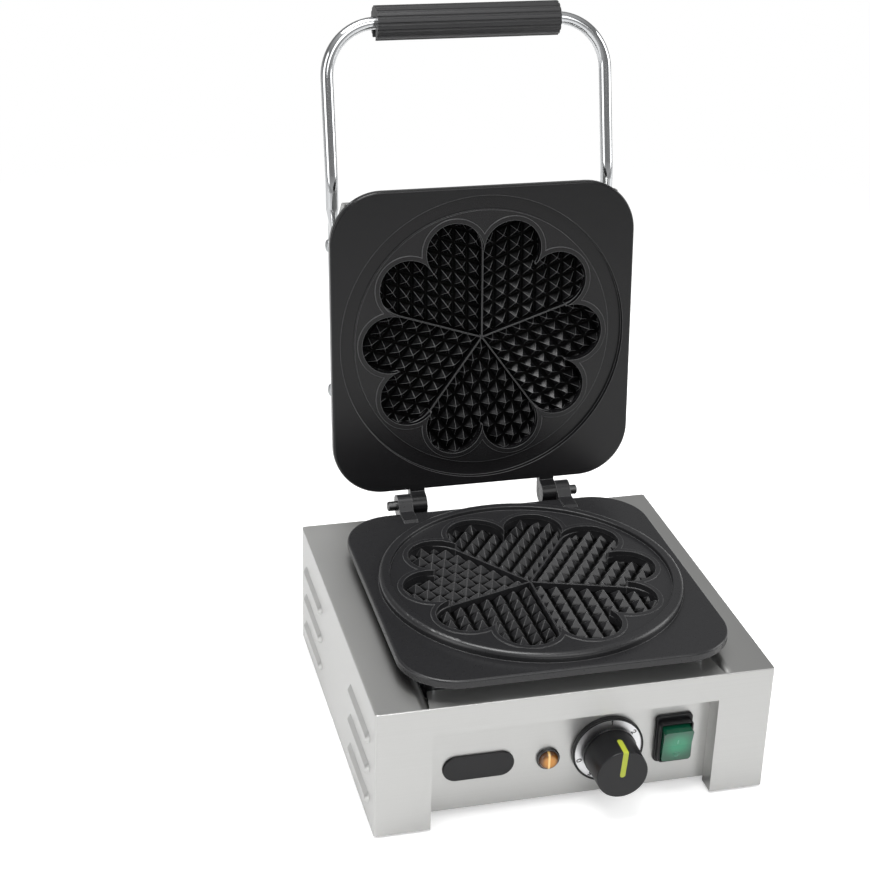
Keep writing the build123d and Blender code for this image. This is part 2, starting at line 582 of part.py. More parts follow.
def thermostat_shaft():
    """Spindle from the thermostat into the knob."""
    x, z = DIAL_AT
    return chamfer(rod_y(x, -8.9, 30, z, SHAFT_R).edges().sort_by(Axis.Y)[0], 0.5)


def thermostat_body():
    """Capillary thermostat behind the panel, its bearing open to the front."""
    x, z = DIAL_AT
    body = block(x - 17, x + 17, 21, 42, z - 19, z + 19)
    body = fillet(body.edges().filter_by(Axis.Y), 3)
    body += rod_y(x, RECESS + PANEL_T, 21, z, 9)
    return body - rod_y(x, 10, 31, z, SHAFT_R + 0.06)


def lamp_bezel():
    """Round bezel of the pilot lamp, with its barrel behind the panel."""
    x, z = LAMP_AT
    ring = rod_y(x, RECESS - 2.8, RECESS, z, LAMP_R)
    ring = fillet(ring.edges().sort_by(Axis.Y)[0], 1.0) + rod_y(x, RECESS, RECESS + 22, z, 6.2)
    return ring - rod_y(x, 0, RECESS + 20, z, 5.2) - rod_y(x, 0, RECESS - 1.2, z, LENS_R + 0.1)


def lamp_lens():
    """Domed amber cap of the pilot lamp."""
    x, z = LAMP_AT
    cap = rod_y(x, RECESS - 6.2, RECESS - 1.2, z, LENS_R)
    return fillet(cap.edges().sort_by(Axis.Y)[0], 3.2) + rod_y(x, RECESS - 1.2, RECESS + 10, z, 5.1)


def lamp_nut():
    """Flat nut that clamps the lamp to the panel."""
    x, z = LAMP_AT
    nut = Pos(x, RECESS + PANEL_T + 3, z) * Rot(90, 0, 0) * extrude(RegularPolygon(9.2, 6), 3)
    return nut - rod_y(x, 0, 40, z, 6.25)


def switch_housing():
    """Frame of the rocker switch: flange, collar with an open chamber, and the body behind the panel."""
    (x, z), (w, h), (cw, ch) = SWITCH_AT, SWITCH_SIZE, COLLAR_SIZE
    frame = block(x - w / 2, x + w / 2, RECESS - 3, RECESS, z - h / 2, z + h / 2)
    frame = fillet(frame.edges().filter_by(Axis.Y), 4.0)
    frame = fillet(frame.faces().sort_by(Axis.Y)[0].edges(), 1.4)
    collar = block(x - cw / 2, x + cw / 2, RECESS - COLLAR_OUT, RECESS - 2, z - ch / 2, z + ch / 2)
    collar = fillet(collar.edges().filter_by(Axis.Y), 3.0)
    collar = fillet(collar.faces().sort_by(Axis.Y)[0].edges(), 0.6)
    frame = frame + collar + block(x - 11, x + 11, RECESS, RECESS + 24, z - 15, z + 15)
    rw, rh = ROCKER_SIZE
    frame -= block(x - rw / 2 - 0.4, x + rw / 2 + 0.4, 0, RECESS - 1, z - rh / 2 - 1, z + rh / 2 + 1)
    for dx in (-6, 6):
        frame += block(x + dx - 0.4, x + dx + 0.4, RECESS + 24, RECESS + 31, z - 3, z + 3)
    return frame


def switch_rocker():
    """Rocker cap, tilted to its off side."""
    (x, z), (rw, rh) = SWITCH_AT, ROCKER_SIZE
    front, back, rise = RECESS - ROCKER_OUT, RECESS - 3.5, rh / 2 - 0.6
    cap = prism_x([(front, z - rise), (front + 1, z), (front, z + rise), (back, z + rise), (back, z - rise)],
                  x - rw / 2, x + rw / 2)
    corners = [e for e in cap.edges().filter_by(GeomType.LINE) if abs(e.center().Z - z) > rise - 0.1
               and e.center().Y < back - 1 and abs(e.center().X - x) > 1]
    cap = fillet(corners, 2.2)
    pivot = Pos(0, ROCKER_PIVOT, z)
    return pivot * Rot(ROCKER_TILT, 0, 0) * pivot.inverse() * cap


def badge_plate():
    """Bare rounded plate at the left of the panel."""
    x, z = BADGE_AT
    plate = Plane((x, RECESS, z), x_dir=(1, 0, 0), z_dir=(0, -1, 0)) * extrude(SlotOverall(*BADGE_SIZE), 1.8)
    return fillet(plate.faces().sort_by(Axis.Y)[0].edges(), 0.8)


def open_lid(shape):
    """Swing a piece of the closed lid to the open stop."""
    pivot = Pos(0, HINGE_Y, HINGE_Z)
    return pivot * Rot(-(90 + LID_LEAN), 0, 0) * pivot.inverse() * shape


def base_pieces():
    """Everything that stands still."""
    return {
        "casing_shell": casing_shell(), "control_panel": control_panel(), "rear_panel": rear_panel(),
        "bottom_plate": bottom_plate(), "rubber_feet": rubber_feet(), "foot_screws": foot_screws(),
        "rear_screws": rear_screws(), "cross_rails": cross_rails(), "heater_box": heater_box(),
        "lower_insulation": lower_insulation(), "lower_clamp": lower_clamp(),
        "lower_heating_element": Pos(0, PLATE_Y, 0) * heating_element(ELEMENT_Z, 99.0),
        "lower_plate": lower_plate(), "hinge_pins": hinge_pins(),
        "dial_bezel": dial_bezel(), "dial_scale": dial_scale(), "thermostat_body": thermostat_body(),
        "lamp_bezel": lamp_bezel(), "lamp_lens": lamp_lens(), "lamp_nut": lamp_nut(),
        "switch_housing": switch_housing(), "badge_plate": badge_plate(),
        "cable_gland": cable_gland(), "terminal_block": terminal_block(),
    }


def lid_pieces():
    """Everything that swings with the lid, in its closed place."""
    element = Pos(0, PLATE_Y, 0) * heating_element(HINGE_Z + UPPER_ELEMENT_BACK, 88.0)
    return {
        "upper_plate": upper_plate(), "upper_cover": upper_cover(), "upper_heating_element": element,
        "upper_clamp": upper_clamp(), "upper_insulation": upper_insulation(), "cover_screws": cover_screws(),
        "handle_bar": handle_bar(), "handle_grip": handle_grip(), "handle_screws": handle_screws(),
    }


def control_pieces():
    """The knob with its spindle and line, and the rocker."""
    return {"knob": knob(), "knob_pointer": pointer_prism(0.8), "thermostat_shaft": thermostat_shaft(),
            "switch_rocker": switch_rocker()}


pieces = base_pieces() | control_pieces() | {name: open_lid(shape) for name, shape in lid_pieces().items()}
boxes = [shape.bounding_box() for shape in pieces.values()]
middle_y = (min(b.min.Y for b in boxes) + max(b.max.Y for b in boxes)) / 2
os.makedirs("parts", exist_ok=True)
for name, shape in pieces.items():
    export_step(Pos(0, -middle_y, FOOT_DROP) * shape, f"parts/{name}.step")
print("hinge axis", round(HINGE_Y - middle_y, 3), round(HINGE_Z + FOOT_DROP, 3))
print("dial axis", DIAL_AT[0], round(DIAL_AT[1] + FOOT_DROP, 3))
print("rocker axis", SWITCH_AT[0], round(ROCKER_PIVOT - middle_y, 3), round(SWITCH_AT[1] + FOOT_DROP, 3))
print("shift", round(middle_y, 3))
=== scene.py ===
"""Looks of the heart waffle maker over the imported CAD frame.

The script gives every CAD node its finish, prints the signs on the dial and the switch, and adds a
white studio with the camera of the photograph.
"""

import json
import logging
import math
from dataclasses import dataclass, field, replace
from enum import Enum

import bmesh
import bpy
from mathutils import Matrix, Vector

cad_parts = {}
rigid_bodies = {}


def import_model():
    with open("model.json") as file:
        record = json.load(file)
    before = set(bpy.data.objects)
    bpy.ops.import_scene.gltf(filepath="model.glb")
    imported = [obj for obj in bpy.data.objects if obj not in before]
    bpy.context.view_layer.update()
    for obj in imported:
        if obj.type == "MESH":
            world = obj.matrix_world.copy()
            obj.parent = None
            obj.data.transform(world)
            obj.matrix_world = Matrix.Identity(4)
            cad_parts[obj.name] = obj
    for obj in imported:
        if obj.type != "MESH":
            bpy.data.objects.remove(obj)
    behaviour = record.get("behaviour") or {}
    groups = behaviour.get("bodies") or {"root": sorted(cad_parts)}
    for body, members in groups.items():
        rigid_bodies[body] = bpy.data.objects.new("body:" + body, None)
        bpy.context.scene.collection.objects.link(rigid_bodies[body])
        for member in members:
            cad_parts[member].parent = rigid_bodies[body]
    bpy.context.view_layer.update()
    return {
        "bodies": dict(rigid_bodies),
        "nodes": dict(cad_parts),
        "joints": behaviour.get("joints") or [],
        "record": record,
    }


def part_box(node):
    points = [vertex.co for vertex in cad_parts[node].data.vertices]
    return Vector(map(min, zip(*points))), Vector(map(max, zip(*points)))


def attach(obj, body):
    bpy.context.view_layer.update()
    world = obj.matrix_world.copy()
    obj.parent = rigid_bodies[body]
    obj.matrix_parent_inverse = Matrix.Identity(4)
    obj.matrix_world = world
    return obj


LOG = logging.getLogger("waffle_maker")
MM = 0.001

# Places are in millimetres in the row frame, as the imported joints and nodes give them
Y_AXIS = (0.0, 1.0, 0.0)
LID_HINGE = (0.0, 85.486, 126.2)
LID_OPEN = math.radians(95.7)
DIAL_CENTRE = (29.0, -167.0, 43.7)
# Middle of the rocker face, round which its painted shade is laid
ROCKER_CENTRE = (80.0, -170.5, 46.5)
# Centres of the painted shade and of the painted glow on the pilot lamp's lens
LAMP_CENTRE = (-16.6, -170.0, 41.0)
PAINTED_GLOW_CENTRE = (-17.2, -170.0, 41.0)
# Tips of the lower plate's pyramids, from which the painted valley shade is measured
LOWER_TIPS = (0.0, 0.0, 123.5)
SIGN_THICKNESS = 0.08
COAT_ROUGHNESS = 0.08
QUARTER_TURN = 0.25
SIDE_WALL_SLOPE = 0.7
# Limits of the mask for the painted edge highlight, on the dot of rounded and true normal
EDGE_STARTS, EDGE_COMPLETE = 0.995, 0.90


class Body(Enum):
    """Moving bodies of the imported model."""

    BASE = "base"
    LID = "lid"
    KNOB = "knob"
    ROCKER = "rocker"


class Grain(Enum):
    """Kinds of surface texture that a finish can carry."""

    BRUSHED_LEVEL = "brushed_level"
    BRUSHED_UPRIGHT = "brushed_upright"
    CAST = "cast"
    FINE = "fine"
    SOFT = "soft"


class Brush(Enum):
    """Ways in which a metal surface is brushed."""

    NONE = "none"
    STRAIGHT = "straight"
    ROUND = "round"


class Reach(Enum):
    """How a colour change measures the way from its origin."""

    ALONG = "along"
    BESIDE = "beside"
    ROUND = "round"


@dataclass(frozen=True)
class Fade:
    """A soft change of colour and gloss by place; the finishes use it to paint shade, glow and
    highlight.

    Attributes:
        reach: How the way from the origin is measured.
        origin: Start point in millimetres, in the row frame.
        axis: Unit direction.
        near: Way in millimetres at which the change starts.
        far: Way in millimetres at which it is complete.
        color: Linear colour that it reaches.
        gloss: Share of the dielectric reflection that is left at the end.
    """

    reach: Reach
    origin: tuple[float, float, float]
    axis: tuple[float, float, float]
    near: float
    far: float
    color: tuple[float, float, float]
    gloss: float = 1.0

    def factor(self, tree: bpy.types.NodeTree) -> bpy.types.NodeSocket:
        """Add the nodes that measure the change.

        Args:
            tree: The material's node tree.

        Returns:
            A socket that runs from 0 to 1.
        """
        place = tree.nodes.new("ShaderNodeTexCoord")
        away = vector_node(tree, "SUBTRACT", place.outputs["Object"], tuple(v * MM for v in self.origin))
        along = vector_node(tree, "DOT_PRODUCT", away.outputs["Vector"], self.axis)
        way = along.outputs["Value"]
        if self.reach is Reach.BESIDE:
            size = tree.nodes.new("ShaderNodeMath")
            size.operation = "ABSOLUTE"
            tree.links.new(way, size.inputs[0])
            way = size.outputs["Value"]
        if self.reach is Reach.ROUND:
            cross = vector_node(tree, "CROSS_PRODUCT", away.outputs["Vector"], self.axis)
            way = vector_node(tree, "LENGTH", cross.outputs["Vector"]).outputs["Value"]
        span = tree.nodes.new("ShaderNodeMapRange")
        span.interpolation_type = "SMOOTHSTEP"
        span.inputs["From Min"].default_value = self.near * MM
        span.inputs["From Max"].default_value = self.far * MM
        tree.links.new(way, span.inputs["Value"])
        return span.outputs["Result"]


def vector_node(
    tree: bpy.types.NodeTree,
    operation: str,
    first: bpy.types.NodeSocket,
    second: bpy.types.NodeSocket | tuple[float, float, float] | None = None,
) -> bpy.types.Node:
    """Add a vector maths node.

    Args:
        tree: The material's node tree.
        operation: Name of the operation.
        first: Socket that feeds the first input.
        second: Socket or plain vector for the second input.

    Returns:
        The node.
    """
    node = tree.nodes.new("ShaderNodeVectorMath")
    node.operation = operation
    tree.links.new(first, node.inputs[0])
    if isinstance(second, tuple):
        node.inputs[1].default_value = second
    elif second is not None:
        tree.links.new(second, node.inputs[1])
    return node


@dataclass(frozen=True)
class Finish:
    """One procedural surface finish.

    Attributes:
        name: Name of the Blender material.
        slot: Material slot of the record that it stands for.
        color: Linear base colour.
        metallic: 1 for bare metal, 0 for the rest.
        roughness: Mean roughness.
        grain: Kind of texture.
        spread: How far the roughness strays from its mean.
        tint: How far the colour strays from its mean, as a share.
        bump: Height of the relief in millimetres.
        coat: Weight of a clear coat.
        specular: Strength of the dielectric reflection.
        brush: How the metal is brushed.
        centre: A point on the axis of a round brushing, in millimetres.
        spread_across: Anisotropy that the brushing gives.
        soften: Width in millimetres of the rounded look of sharp edges.
        painted_edge_highlight: Linear colour of a painted highlight along sharp edges, where soften is
            set.
        fades: Painted shade, glow and highlight by place, one over the other.
    """

    name: str
    slot: str
    color: tuple[float, float, float]
    metallic: float = 0.0
    roughness: float = 0.4
    grain: Grain = Grain.FINE
    spread: float = 0.06
    tint: float = 0.06
    bump: float = 0.02
    coat: float = 0.0
    specular: float = 0.5
    brush: Brush = Brush.NONE
    centre: tuple[float, float, float] = (0.0, 0.0, 0.0)
    spread_across: float = 0.0
    soften: float = 0.0
    painted_edge_highlight: tuple[float, float, float] | None = None
    fades: tuple[Fade, ...] = ()

    def texture_scale(self) -> tuple[float, float, float]:
        """Scale of the noise along each axis, per metre."""
        return {
            Grain.BRUSHED_LEVEL: (5.0, 5.0, 900.0),
            Grain.BRUSHED_UPRIGHT: (900.0, 5.0, 5.0),
            Grain.CAST: (700.0, 700.0, 700.0),
            Grain.FINE: (1500.0, 1500.0, 1500.0),
            Grain.SOFT: (220.0, 220.0, 220.0),
        }[self.grain]

    def material(self) -> bpy.types.Material:
        """Build the material once and return it.

        Returns:
            The Blender material with this finish's name.
        """
        made = bpy.data.materials.get(self.name)
        if made is not None:
            return made
        made = bpy.data.materials.new(self.name)
        made.use_nodes = True
        made.diffuse_color = (*self.color, 1.0)
        tree = made.node_tree
        shader = tree.nodes["Principled BSDF"]
        self._set_constants(shader)
        noise = self._noise(tree)
        self._vary_color(tree, noise, shader)
        self._vary_roughness(tree, noise, shader)
        self._add_bump(tree, noise, shader)
        self._add_brushing(tree, shader)
        LOG.info("finish %s for slot %s", self.name, self.slot)
        return made

    def _set_constants(self, shader: bpy.types.Node) -> None:
        """Set the plain values on the shader.

        Args:
            shader: The Principled BSDF node.
        """
        shader.inputs["Metallic"].default_value = self.metallic
        shader.inputs["Coat Weight"].default_value = self.coat
        shader.inputs["Coat Roughness"].default_value = COAT_ROUGHNESS
        shader.inputs["Specular IOR Level"].default_value = self.specular

    def _noise(self, tree: bpy.types.NodeTree) -> bpy.types.Node:
        """Add a noise texture read at Object coordinates.

        Args:
            tree: The material's node tree.

        Returns:
            The noise node.
        """
        place = tree.nodes.new("ShaderNodeTexCoord")
        mapping = tree.nodes.new("ShaderNodeMapping")
        mapping.inputs["Scale"].default_value = self.texture_scale()
        noise = tree.nodes.new("ShaderNodeTexNoise")
        noise.inputs["Scale"].default_value = 1.0
        noise.inputs["Detail"].default_value = 3.0
        tree.links.new(place.outputs["Object"], mapping.inputs["Vector"])
        tree.links.new(mapping.outputs["Vector"], noise.inputs["Vector"])
        return noise

    def _vary_color(
        self, tree: bpy.types.NodeTree, noise: bpy.types.Node, shader: bpy.types.Node
    ) -> None:
        """Let the colour stray a little from its mean, then lay the painted edge highlight and the
        painted fades over it.

        Args:
            tree: The material's node tree.
            noise: The noise node.
            shader: The Principled BSDF node.
        """
        mix = tree.nodes.new("ShaderNodeMix")
        mix.data_type = "RGBA"
        low = tuple(c * (1.0 - self.tint) for c in self.color)
        high = tuple(min(1.0, c * (1.0 + self.tint)) for c in self.color)
        mix.inputs["A"].default_value = (*low, 1.0)
        mix.inputs["B"].default_value = (*high, 1.0)
        tree.links.new(noise.outputs["Fac"], mix.inputs["Factor"])
        color = mix.outputs["Result"]
        # Painted highlight: sharp edges are lightened in the colour, standing in for the light that
        # rounded edges catch
        if self.painted_edge_highlight is not None:
            color = self._mix(tree, self._edge_highlight_mask(tree), color, self.painted_edge_highlight)
        for fade in self.fades:
            factor = fade.factor(tree)
            color = self._mix(tree, factor, color, fade.color)
            # Painted shade dims the dielectric reflection along with the colour
            if fade.gloss < 1.0:
                tint = self._mix(tree, factor, (1.0, 1.0, 1.0), (fade.gloss,) * 3)
                tree.links.new(tint, shader.inputs["Specular Tint"])
        tree.links.new(color, shader.inputs["Base Color"])

    def _edge_highlight_mask(self, tree: bpy.types.NodeTree) -> bpy.types.NodeSocket:
        """Find the sharp edges for the painted highlight, by how far a rounded normal leaves the true
        one.

        Args:
            tree: The material's node tree.

        Returns:
            A socket that is 1 on an edge and 0 on a flat.
        """
        edge = tree.nodes.new("ShaderNodeBevel")
        edge.samples = 6
        edge.inputs["Radius"].default_value = self.soften * MM
        geometry = tree.nodes.new("ShaderNodeNewGeometry")
        near = vector_node(tree, "DOT_PRODUCT", edge.outputs["Normal"], geometry.outputs["Normal"])
        span = tree.nodes.new("ShaderNodeMapRange")
        span.inputs["From Min"].default_value = EDGE_STARTS
        span.inputs["From Max"].default_value = EDGE_COMPLETE
        tree.links.new(near.outputs["Value"], span.inputs["Value"])
        return span.outputs["Result"]

    @staticmethod
    def _mix(
        tree: bpy.types.NodeTree,
        factor: bpy.types.NodeSocket,
        start: bpy.types.NodeSocket | tuple[float, float, float],
        end: tuple[float, float, float],
    ) -> bpy.types.NodeSocket:
        """Mix a colour towards a plain one.

        Args:
            tree: The material's node tree.
            factor: Share of the second colour.
            start: Colour at factor 0.
            end: Colour at factor 1.

        Returns:
            The socket of the mixed colour.
        """
        mix = tree.nodes.new("ShaderNodeMix")
        mix.data_type = "RGBA"
        if isinstance(start, tuple):
            mix.inputs["A"].default_value = (*start, 1.0)
        else:
            tree.links.new(start, mix.inputs["A"])
        mix.inputs["B"].default_value = (*end, 1.0)
        tree.links.new(factor, mix.inputs["Factor"])
        return mix.outputs["Result"]

    def _vary_roughness(
        self, tree: bpy.types.NodeTree, noise: bpy.types.Node, shader: bpy.types.Node
    ) -> None:
        """Let the roughness stray from its mean.

        Args:
            tree: The material's node tree.
            noise: The noise node.
            shader: The Principled BSDF node.
        """
        span = tree.nodes.new("ShaderNodeMapRange")
        span.inputs["To Min"].default_value = max(0.0, self.roughness - self.spread)
        span.inputs["To Max"].default_value = self.roughness + self.spread
        tree.links.new(noise.outputs["Fac"], span.inputs["Value"])
        tree.links.new(span.outputs["Result"], shader.inputs["Roughness"])

    def _add_bump(self, tree: bpy.types.NodeTree, noise: bpy.types.Node, shader: bpy.types.Node) -> None:
        """Add the fine relief.

        Args:
            tree: The material's node tree.
            noise: The noise node.
            shader: The Principled BSDF node.
        """
        bump = tree.nodes.new("ShaderNodeBump")
        bump.inputs["Strength"].default_value = 1.0
        bump.inputs["Distance"].default_value = self.bump * MM
        tree.links.new(noise.outputs["Fac"], bump.inputs["Height"])
        tree.links.new(bump.outputs["Normal"], shader.inputs["Normal"])
        if self.soften > 0.0:
            edge = tree.nodes.new("ShaderNodeBevel")
            edge.samples = 4
            edge.inputs["Radius"].default_value = self.soften * MM
            tree.links.new(edge.outputs["Normal"], bump.inputs["Normal"])

    def _add_brushing(self, tree: bpy.types.NodeTree, shader: bpy.types.Node) -> None:
        """Stretch the reflections across the brushing.

        Args:
            tree: The material's node tree.
            shader: The Principled BSDF node.
        """
        if self.brush is Brush.NONE:
            return
        shader.inputs["Anisotropic"].default_value = self.spread_across
        shader.inputs["Anisotropic Rotation"].default_value = QUARTER_TURN
        if self.brush is Brush.ROUND:
            place = tree.nodes.new("ShaderNodeTexCoord")
            centre = tuple(v * MM for v in self.centre)
            away = vector_node(tree, "SUBTRACT", place.outputs["Object"], centre)
            way = vector_node(tree, "CROSS_PRODUCT", away.outputs["Vector"], Y_AXIS)
            tree.links.new(way.outputs["Vector"], shader.inputs["Tangent"])
            return
        geometry = tree.nodes.new("ShaderNodeNewGeometry")
        side = vector_node(tree, "ABSOLUTE", geometry.outputs["True Normal"])
        facing = vector_node(tree, "DOT_PRODUCT", side.outputs["Vector"], (1.0, 0.0, 0.0))
        turned = tree.nodes.new("ShaderNodeMath")
        turned.operation = "GREATER_THAN"
        turned.inputs[1].default_value = SIDE_WALL_SLOPE
        pick = tree.nodes.new("ShaderNodeMix")
        pick.data_type = "VECTOR"
        pick.inputs["A"].default_value = (1.0, 0.0, 0.0)
        pick.inputs["B"].default_value = (0.0, 1.0, 0.0)
        tree.links.new(facing.outputs["Value"], turned.inputs[0])
        tree.links.new(turned.outputs["Value"], pick.inputs["Factor"])
        tree.links.new(pick.outputs["Result"], shader.inputs["Tangent"])


CASING_STEEL = Finish(
    name="casing_steel",
    slot="stainless",
    color=(0.52, 0.52, 0.51),
    metallic=1.0,
    roughness=0.36,
    grain=Grain.BRUSHED_LEVEL,
    spread=0.05,
    tint=0.04,
    bump=0.004,
    brush=Brush.STRAIGHT,
    spread_across=0.7,
)
COVER_STEEL = Finish(
    name="cover_steel",
    slot="stainless",
    color=(0.52, 0.52, 0.51),
    metallic=1.0,
    roughness=0.34,
    grain=Grain.BRUSHED_UPRIGHT,
    spread=0.05,
    tint=0.04,
    bump=0.004,
    brush=Brush.STRAIGHT,
    spread_across=0.6,
)
PLAIN_STEEL = Finish(
    name="plain_steel",
    slot="steel",
    color=(0.42, 0.43, 0.44),
    metallic=1.0,
    roughness=0.34,
    grain=Grain.FINE,
    spread=0.06,
    tint=0.05,
    bump=0.004,
)
DARK_STEEL = Finish(
    name="dark_steel",
    slot="steel",
    color=(0.10, 0.10, 0.10),
    metallic=1.0,
    roughness=0.38,
    grain=Grain.FINE,
    spread=0.06,
    tint=0.05,
    bump=0.004,
)
CHROME = Finish(
    name="chrome_bar",
    slot="chrome",
    color=(0.56, 0.57, 0.58),
    metallic=1.0,
    roughness=0.10,
    grain=Grain.SOFT,
    spread=0.02,
    tint=0.02,
    bump=0.002,
)
# Painted shade: below a depth under the pyramid tips the plate is darkened and its reflection dimmed,
# standing in for the shade in the valleys
PAINTED_VALLEY_SHADE = Fade(
    reach=Reach.ALONG,
    origin=LOWER_TIPS,
    axis=(0.0, 0.0, -1.0),
    near=4.2,
    far=6.0,
    color=(0.002, 0.002, 0.002),
    gloss=0.15,
)
# The two plates carry one coating; the lower plate's copy has a lighter base colour than the upper
# plate's, painted light for the light that the upward plate catches
LOWER_COATING = Finish(
    name="plate_coating",
    slot="coated_casting",
    color=(0.015, 0.015, 0.016),
    metallic=0.0,
    roughness=0.29,
    grain=Grain.CAST,
    spread=0.05,
    tint=0.15,
    bump=0.008,
    specular=0.45,
    soften=0.7,
    # Painted highlight along the sharp edges of the casting
    painted_edge_highlight=(0.10, 0.10, 0.102),
    fades=(PAINTED_VALLEY_SHADE,),
)
# Darker copy of the same coating for the lid's plate, the shaded side of that painted light
UPPER_COATING = replace(
    LOWER_COATING,
    name="upper_coating",
    color=(0.006, 0.006, 0.0065),
    roughness=0.25,
    specular=0.34,
    fades=(
        # Painted shade in the valleys of the upper plate, measured from its face in the open lid
        replace(
            PAINTED_VALLEY_SHADE,
            origin=LID_HINGE,
            axis=(0.0, math.sin(LID_OPEN), math.cos(LID_OPEN)),
            near=13.0,
            far=14.8,
        ),
    ),
)
ELEMENT = Finish(
    name="element_sheath",
    slot="element",
    color=(0.07, 0.065, 0.06),
    metallic=1.0,
    roughness=0.55,
    grain=Grain.CAST,
    spread=0.08,
    tint=0.15,
    bump=0.010,
)
WOOL = Finish(
    name="mineral_wool",
    slot="insulation",
    color=(0.66, 0.61, 0.50),
    metallic=0.0,
    roughness=0.95,
    grain=Grain.SOFT,
    spread=0.04,
    tint=0.10,
    bump=0.30,
)
BLACK = Finish(
    name="black_moulding",
    slot="black_plastic",
    color=(0.007, 0.007, 0.008),
    metallic=0.0,
    roughness=0.32,
    grain=Grain.FINE,
    spread=0.05,
    tint=0.10,
    bump=0.006,
    specular=0.35,
)
GLOSS_BLACK = Finish(
    name="gloss_moulding",
    slot="black_plastic",
    color=(0.008, 0.008, 0.009),
    metallic=0.0,
    roughness=0.14,
    grain=Grain.FINE,
    spread=0.03,
    tint=0.10,
    bump=0.003,
    specular=0.8,
    soften=0.5,
)
GRIP_BLACK = Finish(
    name="grip_moulding",
    slot="black_plastic",
    color=(0.012, 0.012, 0.013),
    metallic=0.0,
    roughness=0.42,
    grain=Grain.FINE,
    spread=0.05,
    tint=0.10,
    bump=0.008,
)
LIME = Finish(
    name="lime_inlay",
    slot="lime_plastic",
    color=(0.36, 0.41, 0.03),
    metallic=0.0,
    roughness=0.35,
    grain=Grain.FINE,
    spread=0.04,
    tint=0.05,
    bump=0.004,
)
GREEN = Finish(
    name="green_rocker",
    slot="green_plastic",
    color=(0.014, 0.24, 0.12),
    metallic=0.0,
    roughness=0.16,
    grain=Grain.SOFT,
    spread=0.03,
    tint=0.12,
    bump=0.002,
    coat=0.4,
    # Painted shade: the rocker face darkens towards its rim, round a lighter middle
    fades=(
        Fade(
            reach=Reach.ROUND,
            origin=ROCKER_CENTRE,
            axis=Y_AXIS,
            near=3.0,
            far=15.0,
            color=(0.004, 0.075, 0.038),
        ),
    ),
)
AMBER = Finish(
    name="amber_lens",
    slot="amber_plastic",
    color=(0.58, 0.23, 0.02),
    metallic=0.0,
    roughness=0.14,
    grain=Grain.SOFT,
    spread=0.03,
    tint=0.10,
    bump=0.002,
    coat=0.5,
    fades=(
        # Painted shade: the lens darkens towards its rim, where the dome turns away
        Fade(
            reach=Reach.ROUND,
            origin=LAMP_CENTRE,
            axis=Y_AXIS,
            near=2.6,
            far=7.0,
            color=(0.10, 0.032, 0.003),
        ),
        # Painted glow and painted highlight: a bright upright strip through the middle stands in for the
        # lit bulb and a reflection on the dome
        Fade(
            reach=Reach.BESIDE,
            origin=PAINTED_GLOW_CENTRE,
            axis=(1.0, 0.0, 0.0),
            near=1.2,
            far=0.4,
            color=(0.95, 0.62, 0.22),
        ),
    ),
)
SILVER = Finish(
    name="dial_silver",
    slot="silver_print",
    color=(0.72, 0.72, 0.73),
    metallic=1.0,
    roughness=0.30,
    grain=Grain.FINE,
    spread=0.05,
    tint=0.05,
    bump=0.003,
    brush=Brush.ROUND,
    centre=DIAL_CENTRE,
    spread_across=0.7,
)
CERAMIC = Finish(
    name="ceramic_body",
    slot="ceramic",
    color=(0.75, 0.72, 0.64),
    metallic=0.0,
    roughness=0.55,
    grain=Grain.SOFT,
    spread=0.05,
    tint=0.04,
    bump=0.010,
)
RUBBER = Finish(
    name="foot_rubber",
    slot="rubber",
    color=(0.015, 0.015, 0.015),
    metallic=0.0,
    roughness=0.70,
    grain=Grain.CAST,
    spread=0.06,
    tint=0.12,
    bump=0.020,
)
MARK_DARK = Finish(
    name="dial_print",
    slot="black_plastic",
    color=(0.02, 0.02, 0.02),
    metallic=0.0,
    roughness=0.50,
    grain=Grain.FINE,
    spread=0.04,
    tint=0.08,
    bump=0.002,
)
MARK_PALE = Finish(
    name="rocker_print",
    slot="green_plastic",
    color=(0.16, 0.42, 0.30),
    metallic=0.0,
    roughness=0.40,
    grain=Grain.FINE,
    spread=0.04,
    tint=0.05,
    bump=0.002,
)


def strip_points(points: list[tuple[float, float]], width: float) -> list[list[Vector]]:
    """Turn a polyline into overlapping rectangles of one width.

    Args:
        points: Corners of the line, in millimetres.
        width: Width of the stroke, in millimetres.

    Returns:
        One list of four corners for each stretch.
    """
    quads = []
    for (x0, y0), (x1, y1) in zip(points, points[1:]):
        along = Vector((x1 - x0, y1 - y0)).normalized() * width / 2
        across = Vector((-along.y, along.x))
        a = Vector((x0, y0)) - along
        b = Vector((x1, y1)) + along
        quads.append([a - across, b - across, b + across, a + across])
    return quads


def arc_points(
    cx: float, cy: float, r: float, start: float, end: float, steps: int = 12
) -> list[tuple[float, float]]:
    """Points along an arc.

    Args:
        cx: Centre, first coordinate.
        cy: Centre, second coordinate.
        r: Radius.
        start: First angle in degrees.
        end: Last angle in degrees.
        steps: Number of stretches.

    Returns:
        The points, from start to end.
    """
    turns = [math.radians(start + (end - start) * i / steps) for i in range(steps + 1)]
    return [(cx + r * math.cos(t), cy + r * math.sin(t)) for t in turns]


GLYPHS: dict[str, list[list[tuple[float, float]]]] = {
    "0": [arc_points(0.5, 1.1, 0.5, 0, 180) + arc_points(0.5, 0.5, 0.5, 180, 360) + [(1.0, 1.1)]],
    "1": [[(0.25, 1.25), (0.6, 1.6), (0.6, 0.0)]],
    "2": [arc_points(0.5, 1.1, 0.5, 170, -40) + [(0.0, 0.0), (1.0, 0.0)]],
    "3": [arc_points(0.5, 1.2, 0.4, 150, -90), arc_points(0.5, 0.42, 0.44, 90, -150)],
    "4": [[(0.75, 0.0), (0.75, 1.6), (0.0, 0.5), (1.05, 0.5)]],
    "5": [[(0.95, 1.6), (0.15, 1.6), (0.08, 0.9)] + arc_points(0.48, 0.52, 0.5, 120, -150)],
    "I": [[(0.5, 0.0), (0.5, 1.6)]],
    "O": [arc_points(0.5, 0.8, 0.62, 0, 360, 24)],
}


